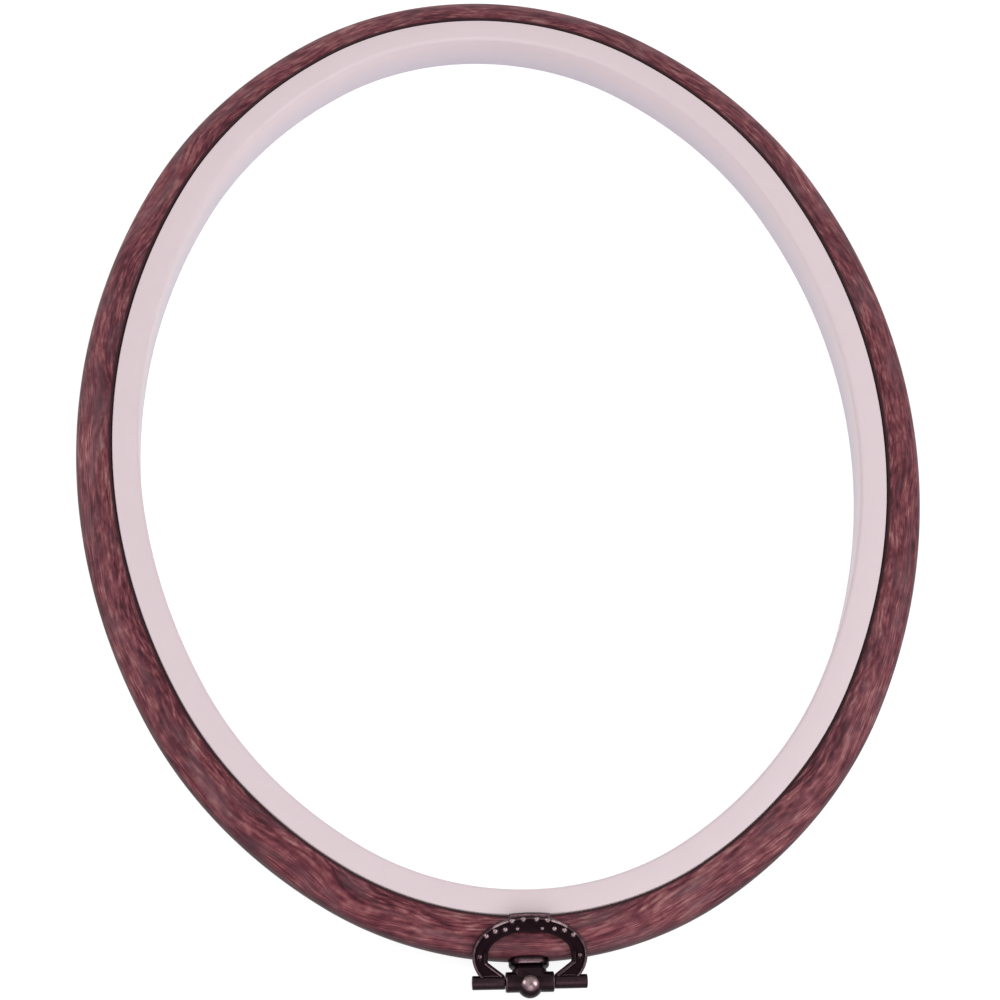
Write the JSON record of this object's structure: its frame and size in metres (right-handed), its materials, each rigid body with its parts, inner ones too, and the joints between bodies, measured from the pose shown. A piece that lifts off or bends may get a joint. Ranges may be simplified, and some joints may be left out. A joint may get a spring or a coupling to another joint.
{
  "type": "embroidery hoop",
  "caption": "Oval embroidery hoop: a stiff inner ring, a soft wood-grain outer ring pushed over it, and a beaded bail on a small cast hanger to hang it by.",
  "frame": {"origin": "on the surface the hoop lies on, under the middle of the whole object with its hanger", "axes": "+Z out of the front face, +Y along the oval's long axis away from the hanger, +X across"},
  "size_m": [0.1926, 0.2644, 0.0136],
  "materials": {
    "hoop_plastic": "pale pinkish white, satin moulded plastic",
    "grain_vinyl": "soft vinyl with a printed red-brown wood grain",
    "antique_bronze": "dark antiqued bronze plating over a casting",
    "screw_steel": "plain zinc plated steel"
  },
  "bodies": {
    "inner": {"inner_hoop": "hoop_plastic"},
    "outer": {"outer_hoop": "grain_vinyl", "hanger_collar": "antique_bronze", "hanger_post": "antique_bronze", "hinge_pin": "antique_bronze", "screw_washer": "screw_steel", "fixing_screw": "screw_steel"},
    "bail": {"bail": "antique_bronze"}
  },
  "joints": [
    {"name": "outer_lift", "type": "slide", "parent": "inner", "child": "outer", "axis": [0, 0, 1], "range_m": [0, 0.02]},
    {"name": "bail_swing", "type": "hinge", "parent": "outer", "child": "bail", "pos_m": [0, -0.1288, 0.005], "axis": [1, 0, 0], "range_deg": [0, 288.5]}
  ]
}
